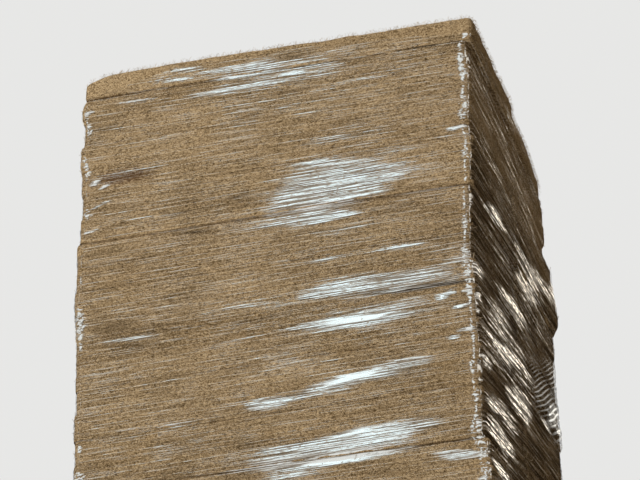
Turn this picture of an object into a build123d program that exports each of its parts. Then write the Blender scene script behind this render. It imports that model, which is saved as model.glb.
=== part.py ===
from build123d import *
from dataclasses import dataclass
from math import sin
import os

# A square stack of flexible wood-fibre insulation batts, held by a sleeve of stretch film.
# Each layer is two batts side by side. The stack was piled by hand, so its layers stray.
# Millimetres, +Z up, origin at the middle of the underside, -Y towards the viewer.

# One batt
batt_length = 1220.0
batt_width = 575.0
batt_thickness = 80.0
batt_edge_ease = 10.0
batt_corner_ease = 14.0

# The gap that stays between the two batts of a layer
column_gap = 4.0

# How far a single layer strays from the lift that it was piled with
stray_right = 3.0
stray_forward = 2.0

# The stretch film, at the thickness of all its windings with the air between them
film_thickness = 1.0
film_clearance = 0.3
film_bow = 1.5
film_hem_height = 25.0
film_edge_depth_left = 87.0
film_edge_depth_right = 56.0


@dataclass
class Lift:
    """Layers that were set down together: how many, and how far they are out of line."""

    layers: int
    front_right: float
    back_right: float
    forward: float


# From the top down
lifts = [
    Lift(layers=1, front_right=14, back_right=3, forward=9),
    Lift(layers=3, front_right=1, back_right=-5, forward=2),
    Lift(layers=3, front_right=-1, back_right=8, forward=3),
    Lift(layers=4, front_right=-14, back_right=-1, forward=-6),
    Lift(layers=6, front_right=-6, back_right=4, forward=2),
    Lift(layers=4, front_right=9, back_right=0, forward=-3),
    Lift(layers=5, front_right=2, back_right=-5, forward=3),
    Lift(layers=4, front_right=-5, back_right=2, forward=0),
]


@dataclass
class Layer:
    """Where one layer's four ends and two long faces stand."""

    number: int
    bottom: float
    front_right: float
    back_right: float
    forward: float

    @property
    def top(self):
        return self.bottom + batt_thickness

    @property
    def front_centre(self):
        return self.front_right, -(batt_width + column_gap) / 2 - self.forward

    @property
    def back_centre(self):
        return self.back_right, (batt_width + column_gap) / 2 - self.forward


def stack_layers():
    """The layers from the top down, each strayed a little from its lift."""
    layers = []
    bottom = batt_thickness * sum(lift.layers for lift in lifts)
    for lift in lifts:
        for _ in range(lift.layers):
            number = len(layers) + 1
            bottom -= batt_thickness
            layers.append(
                Layer(
                    number=number,
                    bottom=bottom,
                    front_right=lift.front_right + stray_right * sin(2.4 * number),
                    back_right=lift.back_right + stray_right * sin(1.7 * number + 1),
                    forward=lift.forward + stray_forward * sin(3.1 * number),
                )
            )
    return layers


def make_layer(layer):
    """Two batts side by side, with the soft edges of a sawn fibre mat."""
    with BuildPart() as batts:
        with BuildSketch(Plane.XY.offset(layer.bottom)) as outlines:
            with Locations(layer.front_centre, layer.back_centre):
                Rectangle(batt_length, batt_width)
            chamfer(outlines.vertices(), length=batt_corner_ease)
        extrude(amount=batt_thickness)
        chamfer(batts.faces().filter_by(Axis.Z).edges(), length=batt_edge_ease)
    batts.part.label = f"layer_{layer.number:02d}"
    return batts.part


def film_section(layer, height, stand_off):
    """The film's outline round one layer: tight on its corners, bowed where the columns meet."""
    front_x, front_y = layer.front_centre
    back_x, back_y = layer.back_centre
    reach = batt_length / 2 + stand_off
    front = front_y - batt_width / 2 - stand_off
    back = back_y + batt_width / 2 + stand_off
    middle = (front_y + back_y) / 2
    widest_right = max(front_x, back_x) + reach + film_bow
    widest_left = min(front_x, back_x) - reach - film_bow
    with BuildSketch(Plane.XY.offset(height)) as section:
        with BuildLine():
            Polyline(
                (front_x - reach, front),
                (front_x + reach, front),
                (widest_right, middle),
                (back_x + reach, back),
                (back_x - reach, back),
                (widest_left, middle),
                close=True,
            )
        make_face()
        corners = section.vertices().filter_by(lambda v: abs(v.Y - middle) > batt_width / 2)
        chamfer(corners, length=batt_corner_ease + stand_off / 2)
    return section.sketch


def film_sections(layers, stand_off):
    """The outlines from the hem up, two to a layer: they hold its flat faces, and the film
    passes from one layer to the next over their eased edges."""
    sections = []
    for layer in reversed(layers):
        lowest = max(layer.bottom + batt_edge_ease, film_hem_height)
        sections.append(film_section(layer, lowest, stand_off))
        sections.append(film_section(layer, layer.top - batt_edge_ease, stand_off))
    return sections


layers = stack_layers()
stack_height = layers[0].top
os.makedirs("parts", exist_ok=True)

for layer in layers:
    batts = make_layer(layer)
    export_step(batts, f"parts/{batts.label}.step")

# The film's upper edge climbs from left to right across the top layer
edge_left = (-batt_length / 2, 0, stack_height - film_edge_depth_left)
edge_right = (batt_length / 2, 0, stack_height - film_edge_depth_right)
edge_plane = Plane(
    origin=edge_left,
    x_dir=Vector(edge_right) - Vector(edge_left),
    z_dir=(Vector(edge_right) - Vector(edge_left)).cross(Vector(0, 1, 0)),
)

with BuildPart() as stretch_film:
    loft(film_sections(layers, film_clearance + film_thickness), ruled=True)
    loft(film_sections(layers, film_clearance), ruled=True, mode=Mode.SUBTRACT)
    split(bisect_by=edge_plane, keep=Keep.BOTTOM)
stretch_film.part.label = "stretch_film"
export_step(stretch_film.part, "parts/stretch_film.step")

print("stack", batt_length, 2 * batt_width + column_gap, stack_height)
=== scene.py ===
"""The looks of a square stack of wood-fibre insulation batts wound in clear stretch film.

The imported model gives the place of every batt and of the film. The classes here dress them:
soft fibrous batts, loose fibres and shives, and a glossy wrinkled film over them.
Metres, +Z up, -Y towards the viewer. A depth is counted down from the top of the stack.
"""

import logging
import math
from collections.abc import Callable
from dataclasses import asdict, dataclass, field, fields
from enum import Enum

import bpy
import numpy as np
from mathutils import Matrix, Vector


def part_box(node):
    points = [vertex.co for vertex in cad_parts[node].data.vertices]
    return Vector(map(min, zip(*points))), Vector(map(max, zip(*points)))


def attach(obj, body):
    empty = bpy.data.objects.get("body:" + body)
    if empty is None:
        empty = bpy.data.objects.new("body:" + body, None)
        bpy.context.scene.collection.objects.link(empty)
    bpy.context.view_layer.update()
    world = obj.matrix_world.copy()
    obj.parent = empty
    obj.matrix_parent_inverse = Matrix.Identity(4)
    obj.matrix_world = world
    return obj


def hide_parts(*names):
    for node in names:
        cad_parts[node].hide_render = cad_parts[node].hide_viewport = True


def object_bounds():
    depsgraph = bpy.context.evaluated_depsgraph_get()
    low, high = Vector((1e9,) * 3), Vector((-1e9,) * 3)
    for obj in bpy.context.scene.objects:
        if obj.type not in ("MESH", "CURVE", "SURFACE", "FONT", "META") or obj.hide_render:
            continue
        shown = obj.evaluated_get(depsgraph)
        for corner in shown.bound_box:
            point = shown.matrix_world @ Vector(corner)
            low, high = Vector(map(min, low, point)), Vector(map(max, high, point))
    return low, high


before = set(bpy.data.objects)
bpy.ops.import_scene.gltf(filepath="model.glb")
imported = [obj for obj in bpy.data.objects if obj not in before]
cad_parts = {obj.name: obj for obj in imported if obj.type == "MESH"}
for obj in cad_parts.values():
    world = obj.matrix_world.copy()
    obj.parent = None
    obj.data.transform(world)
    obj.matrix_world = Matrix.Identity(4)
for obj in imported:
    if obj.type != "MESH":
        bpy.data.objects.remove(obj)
CAD_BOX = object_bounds()
BODY = "root"
LAYER_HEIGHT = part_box("layer_01")[1].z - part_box("layer_01")[0].z
log = logging.getLogger("stack")

Pair = tuple[float, float]
Triple = tuple[float, float, float]
Colour = tuple[float, float, float, float]


class Side(Enum):
    """The four upright faces, in the order in which the film goes round them."""

    FRONT = 0
    RIGHT = 1
    BACK = 2
    LEFT = 3


class RandomField:
    """A smooth field of random values from -1 to 1 over a plane, the same in every run."""

    CELLS = 256

    def __init__(self, seed: int) -> None:
        """Fills the lattice that the values lie on.

        Args:
            seed: names the field; the same seed gives the same field.
        """
        self.lattice = np.random.default_rng(seed).uniform(-1.0, 1.0, (self.CELLS, self.CELLS))

    def at(self, u: np.ndarray, v: np.ndarray, period: int = CELLS) -> np.ndarray:
        """The field's values at points of the plane.

        Args:
            u: first coordinates, in cells.
            v: second coordinates, in cells.
            period: the number of cells after which the field repeats along u.

        Returns:
            One value for each point.
        """
        u, v = np.broadcast_arrays(u, v)
        i, j = np.floor(u).astype(int), np.floor(v).astype(int)
        s, t = u - i, v - j
        s, t = s * s * (3 - 2 * s), t * t * (3 - 2 * t)
        near, far = i % period % self.CELLS, (i + 1) % period % self.CELLS
        low, high = j % self.CELLS, (j + 1) % self.CELLS
        below = self.lattice[near, low] * (1 - s) + self.lattice[far, low] * s
        above = self.lattice[near, high] * (1 - s) + self.lattice[far, high] * s
        return below * (1 - t) + above * t


def smooth_step(low: float, high: float, value: np.ndarray) -> np.ndarray:
    """0 at low and before it, 1 at high and past it, and a smooth rise between them."""
    t = np.clip((value - low) / (high - low), 0.0, 1.0)
    return t * t * (3 - 2 * t)


@dataclass(frozen=True)
class Push:
    """A few layers that stand out at one corner of the stack, or in where the shift points in.

    The corner is given by its signs along X and Y. The four depths are where the move starts,
    where it is full, up to where it stays full, and where it is gone.
    """

    corner: tuple[int, int]
    depths: tuple[float, float, float, float]
    shift: Pair

    X_RISE = (0.30, 0.60)
    Y_RISE = (0.20, 0.56)

    def moved(self, points: np.ndarray, depth: np.ndarray) -> np.ndarray:
        """How far some points are moved.

        Args:
            points: one row for each point.
            depth: how far each is below the top of the stack.

        Returns:
            Their moves along X and Y.
        """
        start, full, until, gone = self.depths
        share = smooth_step(start, full, depth) * smooth_step(gone, until, depth)
        share = share * smooth_step(*self.X_RISE, points[:, 0] * self.corner[0])
        share = share * smooth_step(*self.Y_RISE, points[:, 1] * self.corner[1])
        return share[:, None] * np.array(self.shift)


@dataclass(frozen=True)
class Sag:
    """How the stack has given way since it was piled."""

    settled_left: float = 0.016
    settles_under: Pair = (0.06, 0.5)
    settles_over: Pair = (0.0, 0.8)
    end_drop: float = 0.050
    end_reach: float = 0.160
    end_swell: float = 0.014
    pushes: tuple[Push, ...] = (
        Push((1, 1), (-0.04, -0.02, 0.07, 0.09), (-0.016, 0.0)),
        Push((1, 1), (0.215, 0.245, 0.285, 0.330), (-0.013, -0.003)),
        Push((1, 1), (0.34, 0.48, 0.51, 0.56), (0.013, 0.013)),
        Push((-1, -1), (0.225, 0.250, 0.305, 0.330), (-0.009, -0.002)),
        Push((-1, -1), (0.085, 0.100, 0.140, 0.160), (-0.004, -0.001)),
    )

    def apply(self, points: np.ndarray) -> np.ndarray:
        """Lowers what lies to the left, and rounds off the left end of the top layer.

        Args:
            points: one row for each point, where a stiff stack would have it.

        Returns:
            The points where they hang.
        """
        low, high = CAD_BOX
        moved = points.copy()
        across = (high.x - points[:, 0]) / (high.x - low.x)
        under_top = smooth_step(*self.settles_under, high.z - points[:, 2])
        over_floor = smooth_step(*self.settles_over, points[:, 2] - low.z)
        moved[:, 2] -= self.settled_left * across * under_top * over_floor
        in_top_layer = np.clip((points[:, 2] - high.z) / LAYER_HEIGHT + 1.0, 0.0, None)
        past = np.clip((low.x + self.end_reach - points[:, 0]) / self.end_reach, 0.0, 1.0)
        moved[:, 2] -= self.end_drop * past**2 * in_top_layer
        moved[:, 0] -= self.end_swell * past * (in_top_layer > 0)
        depth = high.z - points[:, 2]
        for push in self.pushes:
            moved[:, :2] += push.moved(points, depth)
        return moved


def grid_faces(rows: int, columns: int, closed: bool) -> list[tuple[int, ...]]:
    """The quads of a grid of points that is counted row by row.

    Args:
        rows: how many rows of points it has.
        columns: how many points a row has.
        closed: whether each row's last point joins its first.

    Returns:
        Four point numbers for each face.
    """
    last = columns if closed else columns - 1
    return [
        (
            row * columns + column,
            row * columns + (column + 1) % columns,
            (row + 1) * columns + (column + 1) % columns,
            (row + 1) * columns + column,
        )
        for row in range(rows - 1)
        for column in range(last)
    ]


def add_mesh(
    name: str,
    points: np.ndarray,
    faces: list[tuple[int, ...]],
    material: bpy.types.Material,
) -> bpy.types.Object:
    """Makes a smooth-shaded object whose place is in its mesh.

    Args:
        name: the piece's name.
        points: one row for each vertex.
        faces: vertex numbers of each face.
        material: its finish.

    Returns:
        The new object.
    """
    mesh = bpy.data.meshes.new(name)
    mesh.from_pydata(points.tolist(), [], faces)
    mesh.shade_smooth()
    mesh.materials.append(material)
    piece = bpy.data.objects.new(name, mesh)
    bpy.context.scene.collection.objects.link(piece)
    return piece


def add_values(piece: bpy.types.Object, name: str, values: np.ndarray) -> None:
    """Stores one number for each vertex as a named attribute of the mesh."""
    attribute = piece.data.attributes.new(name, "FLOAT", "POINT")
    attribute.data.foreach_set("value", np.asarray(values, np.float32).ravel())


# Shader expressions


class Value:
    """A shader socket that takes part in Python expressions. Each operation adds a Math node."""

    def __init__(self, shader: "Shader", socket: bpy.types.NodeSocket) -> None:
        """Wraps a socket.

        Args:
            shader: the material that is built.
            socket: an output of one of its nodes.
        """
        self.shader = shader
        self.socket = socket

    def _math(self, operation: str, *operands: "Value | float") -> "Value":
        """A Math node on some operands.

        Args:
            operation: the node's operation.
            operands: sockets or numbers, in order.

        Returns:
            The node's result.
        """
        return self.shader.node("ShaderNodeMath", {"operation": operation}, *operands)

    def __add__(self, other: "Value | float") -> "Value":
        """Self plus other."""
        return self._math("ADD", self, other)

    def __radd__(self, other: float) -> "Value":
        """Other plus self."""
        return self._math("ADD", other, self)

    def __sub__(self, other: "Value | float") -> "Value":
        """Self minus other."""
        return self._math("SUBTRACT", self, other)

    def __rsub__(self, other: float) -> "Value":
        """Other minus self."""
        return self._math("SUBTRACT", other, self)

    def __mul__(self, other: "Value | float") -> "Value":
        """Self times other."""
        return self._math("MULTIPLY", self, other)

    def __rmul__(self, other: float) -> "Value":
        """Other times self."""
        return self._math("MULTIPLY", other, self)

    def __pow__(self, other: float) -> "Value":
        """Self to the power of other."""
        return self._math("POWER", self, other)

    def __abs__(self) -> "Value":
        """Self without its sign."""
        return self._math("ABSOLUTE", self)

    def __truediv__(self, other: "Value | float") -> "Value":
        """Self divided by other."""
        return self._math("DIVIDE", self, other)

    def most(self, other: "Value | float") -> "Value":
        """The larger of self and other."""
        return self._math("MAXIMUM", self, other)

    def least(self, other: "Value | float") -> "Value":
        """The smaller of self and other."""
        return self._math("MINIMUM", self, other)

    def band(self, low: float, high: float) -> "Value":
        """0 below low, 1 above high, and an even rise between them."""
        settings = {"interpolation_type": "SMOOTHSTEP"}
        return self.shader.node("ShaderNodeMapRange", settings, self, low, high, 0.0, 1.0)


class Shader:
    """A material that is built from expressions."""

    def __init__(self, name: str) -> None:
        """Makes an empty material with a Principled shader.

        Args:
            name: the material's name.
        """
        self.material = bpy.data.materials.new(name)
        self.material.use_nodes = True
        self.tree = self.material.node_tree
        self.surface = self.tree.nodes["Principled BSDF"]

    def node(self, kind: str, settings: dict, *inputs: object, output: int = 0) -> Value:
        """Adds any node.

        Args:
            kind: the node's type.
            settings: its own settings, and under "stops" a ramp's positions and colours.
            inputs: a Value, number or tuple for each input in order, or None to leave one out.
            output: which output is returned.

        Returns:
            That output.
        """
        made = self.tree.nodes.new(kind)
        for key, setting in settings.items():
            if key == "stops":
                self._set_stops(made.color_ramp, setting)
            else:
                setattr(made, key, setting)
        shown = [socket for socket in made.inputs if socket.enabled]
        for socket, given in zip(shown, inputs):
            self.feed(socket, given)
        outputs = [socket for socket in made.outputs if socket.enabled]
        return Value(self, outputs[output])

    @staticmethod
    def _set_stops(ramp: bpy.types.ColorRamp, stops: list[tuple]) -> None:
        """Gives a ramp its stops.

        Args:
            ramp: a colour ramp as Blender makes it, with two stops.
            stops: a position and a colour for each.
        """
        for _ in stops[2:]:
            ramp.elements.new(0.5)
        for element, (position, colour) in zip(ramp.elements, stops):
            element.position = position
            element.color = (*colour, 1.0)

    def feed(self, socket: bpy.types.NodeSocket, given: object) -> None:
        """Links or sets an input.

        Args:
            socket: the input.
            given: a Value to link, a number or tuple to set, or None to leave it as it is.
        """
        if isinstance(given, Value):
            self.tree.links.new(given.socket, socket)
        elif given is not None:
            socket.default_value = given

    def set(self, **sockets: object) -> None:
        """Feeds the Principled shader. An underscore in a name stands for a space."""
        for name, given in sockets.items():
            self.feed(self.surface.inputs[name.replace("_", " ")], given)

    def attribute(self, name: str) -> Value:
        """The vertex values stored under a name."""
        return self.node("ShaderNodeAttribute", {"attribute_name": name}, output=2)

    def stretched(self, place: Value, scale: Value | Triple) -> Value:
        """A place, scaled along each axis."""
        return self.node("ShaderNodeVectorMath", {"operation": "MULTIPLY"}, place, scale)

    def noise(
        self,
        place: Value,
        scale: Triple,
        detail: float = 2.0,
        roughness: float = 0.5,
        distortion: float = 0.0,
    ) -> Value:
        """A noise texture, from 0 to 1.

        Args:
            place: where it is read.
            scale: how many cells a metre holds along each axis.
            detail: how many finer layers it has.
            roughness: how strong they are.
            distortion: how far it is warped.

        Returns:
            The noise's value.
        """
        where = self.stretched(place, scale)
        lacunarity = 2.0
        return self.node(
            "ShaderNodeTexNoise", {}, where, 1.0, detail, roughness, lacunarity, distortion
        )

    def mixed(self, share: Value, first: object, second: object) -> Value:
        """A colour between two others: the first where share is 0, the second where it is 1."""
        return self.node("ShaderNodeMix", {"data_type": "RGBA"}, share, first, second)

    def bump(self, height: Value, distance: float) -> Value:
        """A normal that is raised by a height, over a distance in metres."""
        strength, filter_width = 1.0, 1.0
        return self.node("ShaderNodeBump", {}, strength, distance, filter_width, height)


@dataclass(frozen=True)
class WoodFibre:
    """The felted brown fibre of the batts. Cells are counted to the metre along X, Y and Z."""

    dark: Triple = (0.115, 0.073, 0.032)
    middle: Triple = (0.303, 0.215, 0.116)
    light: Triple = (0.60, 0.455, 0.280)
    shades: Triple = (0.42, 0.50, 0.58)
    tone_cells: Triple = (3.0, 3.0, 11.0)
    clump_cells: Triple = (95.0, 95.0, 200.0)
    fibre_cells: Triple = (290.0, 290.0, 420.0)
    curl_cells: Triple = (75.0, 75.0, 130.0)
    shive_cells: Triple = (60.0, 60.0, 520.0)
    pit_cells: Triple = (120.0, 120.0, 260.0)
    tone_share: float = 0.07
    clump_share: float = 0.27
    fibre_share: float = 0.66
    curl_share: float = 0.025
    shive_share: float = 0.12
    pit_share: float = 0.14
    layer_share: float = 0.02
    relief: float = 0.012
    # A dark brown patch in the fibre's colour near the left end: its colour, middle, reach, fraying and
    # rim.
    dark_patch: Colour = (0.085, 0.036, 0.016, 1.0)
    dark_patch_place: Triple = (-0.470, -0.58, -0.367)
    dark_patch_reach: Triple = (0.098, 0.08, 0.026)
    dark_patch_fray: float = 2.4
    dark_patch_rim: Pair = (1.6, 2.5)

    def material(self) -> bpy.types.Material:
        """Builds the material.

        Returns:
            Its colour varies from clump to clump and from fibre to fibre, with pits between them that
            are sunk into the relief and painted darker as painted shade.
        """
        shader = Shader("wood_fibre")
        place = shader.node("ShaderNodeTexCoord", {}, output=3)
        tone = shader.noise(place, self.tone_cells, 2.0)
        clumps = shader.noise(place, self.clump_cells, 3.0, 0.65, 0.8)
        fibres = shader.noise(place, self.fibre_cells, 2.0, 0.75, 0.6)
        curls = abs(shader.noise(place, self.curl_cells, 1.0, 0.6, 1.5) - 0.5)
        curls = 1 - curls.band(0.0, 0.035)
        shives = shader.noise(place, self.shive_cells, 1.0, 0.5, 1.2).band(0.60, 0.70)
        # Pits are sunk into the relief and painted darker, as painted shade.
        shaded_pits = shader.noise(place, self.pit_cells, 1.0, 0.5, 0.6).band(0.62, 0.70)
        height = self.fibre_share * fibres + self.clump_share * clumps
        height = height + self.tone_share * tone - self.pit_share * shaded_pits
        height = height + curls * self.curl_share
        shade = height + shives * self.shive_share + shader.attribute("tone") * self.layer_share
        stops = list(zip(self.shades, (self.dark, self.middle, self.light)))
        colour = shader.node("ShaderNodeValToRGB", {"stops": stops}, shade)
        dark_patch_share = self._dark_patch(shader, place, clumps) * (fibres.band(0.35, 0.6) * 0.5 + 0.4)
        with_dark_patch = shader.mixed(dark_patch_share, colour, self.dark_patch)
        shader.set(
            Base_Color=with_dark_patch,
            Roughness=0.9,
            Specular_IOR_Level=0.0,
            Normal=shader.bump(height, self.relief),
        )
        return shader.material

    def _dark_patch(self, shader: Shader, place: Value, clumps: Value) -> Value:
        """A dark brown patch near the left end, from 0 around it to 1 inside.

        Args:
            shader: the material that is built.
            place: the surface's own place.
            clumps: noise that frays its rim.

        Returns:
            How far inside the patch the place is.
        """
        middle = Vector(self.dark_patch_place) + Vector((0.0, 0.0, CAD_BOX[1].z))
        away = shader.node("ShaderNodeVectorMath", {"operation": "SUBTRACT"}, place, middle)
        scaled = shader.stretched(away, tuple(1 / reach for reach in self.dark_patch_reach))
        distance = shader.node("ShaderNodeVectorMath", {"operation": "LENGTH"}, scaled)
        return 1 - (distance + clumps * self.dark_patch_fray).band(*self.dark_patch_rim)


@dataclass(frozen=True)
class LooseFibre:
    """The single fibres that stand out of the batts."""

    colour: Triple = (0.52, 0.41, 0.27)
    palest: float = 1.25
    deepest: float = 0.6
    cells: Triple = (60.0, 60.0, 60.0)

    def material(self) -> bpy.types.Material:
        """Builds the material: pale, dry, a little uneven along each fibre."""
        shader = Shader("loose_fibre")
        place = shader.node("ShaderNodeTexCoord", {}, output=3)
        along = shader.noise(place, self.cells, 1.0)
        pale = tuple(channel * self.palest for channel in self.colour)
        deep = tuple(channel * self.deepest for channel in self.colour)
        stops = [(0.35, deep), (0.65, pale)]
        colour = shader.node("ShaderNodeValToRGB", {"stops": stops}, along)
        shader.set(Base_Color=colour, Roughness=0.8, Specular_IOR_Level=0.2)
        return shader.material


@dataclass(frozen=True)
class ClearFilm:
    """Clear stretch film. It adds what it mirrors to what shows through it, with a painted
    warmer colour on the ends, and lays painted shade over the fibre.

    Cells are counted to the metre: round the stack, and across the way the film was wound.
    """

    tint: Colour = (0.97, 0.985, 0.96, 1.0)
    # Painted reflection colour for the ends and for where the film mirrors little.
    painted_warm_reflection: Colour = (1.0, 0.90, 0.76, 1.0)
    # The painted shade's colour, near black.
    shadow: Colour = (0.020, 0.012, 0.006, 1.0)
    long_cells: Triple = (2.6, 170.0, 1.0)
    short_cells: Triple = (8.0, 300.0, 1.0)
    break_cells: Triple = (24.0, 560.0, 1.0)
    thread_cells: Triple = (5.0, 310.0, 1.0)
    gap_cells: Triple = (3.5, 250.0, 1.0)
    crinkle_cells: Triple = (45.0, 330.0, 1.0)
    tick_cells: Triple = (50.0, 125.0, 1.0)
    waver_cells: Triple = (3.0, 12.0, 1.0)
    soft_cells: Triple = (6.0, 22.0, 1.0)
    wider_on_ends: float = 0.45
    clinging_share: float = 0.004
    haze_share: float = 0.20
    taut_share: float = 0.98
    fullest_share: float = 0.89
    tick_share: float = 0.95
    fold_share: float = 0.34
    thread_share: float = 0.34
    dull_share: float = 0.62
    dull_share_on_ends: float = 0.75
    taut_reach: float = 0.30
    streak_level: float = 0.650
    ridge_waver: float = 2.0
    # How much painted shade the film lays in the troughs between its streaks and with the shade value,
    # and the most it may lay.
    trough_share: float = 0.50
    deep_share: float = 0.22
    darkest: float = 0.95
    clinging_roughness: float = 0.42
    taut_roughness: float = 0.17
    relief: float = 0.0016

    def material(self) -> bpy.types.Material:
        """Builds the material.

        Returns:
            Where the film is taut it mirrors in long streaks, and where it clings hardly at all.
            Between its streaks, along creases and on the ends it lays painted shade over the fibre.
        """
        shader = Shader("stretch_film")
        taut = shader.attribute("taut")
        on_end = shader.attribute("end").band(0.49, 0.51)
        narrower = shader.node("ShaderNodeCombineXYZ", {}, 1.0, 1 - on_end * self.wider_on_ends, 1.0)
        place = shader.stretched(shader.node("ShaderNodeUVMap", {"uv_map": "winding"}), narrower)
        long_streaks = shader.noise(place, self.long_cells, 2.0, 0.55)
        short_streaks = shader.noise(place, self.short_cells, 2.0, 0.6, 0.3)
        breaks = shader.noise(place, self.break_cells, 1.0, 0.5)
        threads = shader.noise(place, self.thread_cells, 1.0, 0.5)
        gaps = shader.noise(place, self.gap_cells, 1.0, 0.5, 0.2).band(0.42, 0.50)
        streaks = 0.45 * long_streaks + 0.37 * short_streaks + 0.18 * breaks
        fine = (threads.band(0.40, 0.52) * 0.9 + 0.1) * (gaps * 0.85 + 0.15)
        lit = self._lit(shader, streaks, fine) * (1 - self._dull(shader, place, on_end))
        ridges = self._ridges(shader, shader.noise(place, self.waver_cells, 1.0))
        thread = threads.band(0.54, 0.66) * short_streaks.band(0.36, 0.58) * self.thread_share
        haze = taut.band(0.36, 1.1) * (breaks.band(0.34, 0.62) * 0.8 + 0.3) * self.haze_share
        bright = (lit * self.taut_share).most(self._ticks(shader, place) * self.tick_share)
        bright = bright.most(self._folded(shader, place, ridges)).most(thread * (1 - on_end * 0.6))
        mirrored = (self.clinging_share + haze + bright).least(self.fullest_share)
        # Painted shade: a near-black layer darkens the fibre in the troughs between the streaks, in the
        # gaps of taut film, and by the shade value that the mesh carries.
        trough_shade = 1 - (streaks * 0.5 + threads * 0.5).band(0.44, 0.52)
        trough_shade = trough_shade.most((1 - gaps) * taut.band(0.4, 0.8))
        shaded = shader.attribute("shade").most(taut)
        deep = (trough_shade * self.trough_share + shaded**3 * self.deep_share) * shaded
        share = mirrored + deep.least(self.darkest) * (1 - mirrored)
        mirror = mirrored / share
        # Painted reflection colour: warmer on the ends and where the film mirrors little, cooler where
        # it mirrors strongly and in the gathered folds.
        cool_reflection_share = (mirrored.band(0.10, 0.60) * (1 - on_end * 0.7)).most(shader.attribute("gather"))
        tint = shader.mixed(cool_reflection_share, self.painted_warm_reflection, self.tint)
        shader.set(
            Base_Color=shader.mixed(mirror, self.shadow, tint),
            Metallic=mirror,
            Specular_IOR_Level=0.0,
            Roughness=self.clinging_roughness - lit * (self.clinging_roughness - self.taut_roughness),
            Alpha=share,
            Normal=shader.bump(streaks + ridges, self.relief),
        )
        return shader.material

    def _lit(self, shader: Shader, streaks: Value, fine: Value) -> Value:
        """The long streaks that mirror the light where the film is taut.

        Args:
            shader: the material that is built.
            streaks: noise drawn out along the film.
            fine: the threads and gaps that split a streak, which a fully taut place hasn't.

        Returns:
            How much of a full mirror each place is.
        """
        taut = shader.attribute("taut")
        over = (streaks + taut * self.taut_reach - self.streak_level) / (taut * 0.11 + 0.09)
        over = (over + taut * 0.65).band(0.0, 1.0)
        loose = (1 - shader.attribute("gather") * 0.8).most(taut.band(1.0, 1.35))
        return loose * over * (taut * 0.45 + 0.55) * fine.most(taut.band(1.0, 1.25))

    def _dull(self, shader: Shader, place: Value, on_end: Value) -> Value:
        """Small spots that break the streaks, larger on the ends of the stack.

        Args:
            shader: the material that is built.
            place: the place on the film.
            on_end: 1 on the ends and 0 on the front and back.

        Returns:
            How dull each place is.
        """
        crinkles = shader.noise(place, self.crinkle_cells, 1.0, 0.6)
        not_solid = 1 - shader.attribute("taut").band(1.0, 1.25)
        on_ends = (1 - crinkles.band(0.40, 0.56)) * on_end * self.dull_share_on_ends
        elsewhere = (1 - crinkles.band(0.37, 0.46)) * (1 - on_end) * not_solid * self.dull_share
        return on_ends + elsewhere

    def _ticks(self, shader: Shader, place: Value) -> Value:
        """The bright ticks down the corners.

        Args:
            shader: the material that is built.
            place: the place on the film.

        Returns:
            1 on a tick and 0 around it.
        """
        near_corner = 1 - abs(shader.attribute("pleat")).band(0.2, 1.8)
        ticks = shader.noise(place, self.tick_cells, 3.0, 0.65, 0.9)
        return (ticks + near_corner * 0.12).band(0.59, 0.67) * near_corner

    def _ridges(self, shader: Shader, waver: Value) -> Value:
        """The crests of the folds where loose film is gathered, from 0 between them to 1.

        Args:
            shader: the material that is built.
            waver: noise that bends them a little.

        Returns:
            How near to a crest the place is.
        """
        turns = shader.attribute("ridge") + waver * self.ridge_waver
        wave = shader.node("ShaderNodeMath", {"operation": "COSINE"}, turns * (2 * math.pi))
        return wave.band(-0.1, 1.0) * shader.attribute("gather")

    def _folded(self, shader: Shader, place: Value, ridges: Value) -> Value:
        """What the crests of the gathered folds mirror: most where the film is taut too.

        Args:
            shader: the material that is built.
            place: the place on the film.
            ridges: how near to a crest the place is.

        Returns:
            How much of a full mirror each place is.
        """
        soft = shader.noise(place, self.soft_cells, 1.0).band(0.34, 0.66)
        taut = shader.attribute("taut").band(0.6, 1.0)
        return ridges * (soft * self.fold_share).most(taut * (soft * 0.4 + 0.6))


@dataclass(frozen=True)
class PaleFloor:
    """The plain floor of the studio."""

    colour: Triple = (0.80, 0.80, 0.79)
    deepest: float = 0.97
    cells: Triple = (1.5, 1.5, 1.5)

    def material(self) -> bpy.types.Material:
        """Builds the material: matte, with the faintest unevenness."""
        shader = Shader("pale_floor")
        place = shader.node("ShaderNodeTexCoord", {}, output=3)
        cloud = shader.noise(place, self.cells, 2.0)
        darker = tuple(channel * self.deepest for channel in self.colour)
        stops = [(0.3, darker), (0.7, self.colour)]
        colour = shader.node("ShaderNodeValToRGB", {"stops": stops}, cloud)
        shader.set(Base_Color=colour, Roughness=0.85, Specular_IOR_Level=0.1)
        return shader.material


# What the frame holds


@dataclass(frozen=True)
class Box:
    """The place of one batt."""

    low: np.ndarray
    high: np.ndarray


@dataclass(frozen=True)
class Layer:
    """One layer of the stack, with the places of its two batts."""

    node: str
    front: Box
    back: Box

    @property
    def bottom(self) -> float:
        """The height of its underside."""
        return float(self.front.low[2])

    @property
    def top(self) -> float:
        """The height of its upper side."""
        return float(self.front.high[2])


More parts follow.
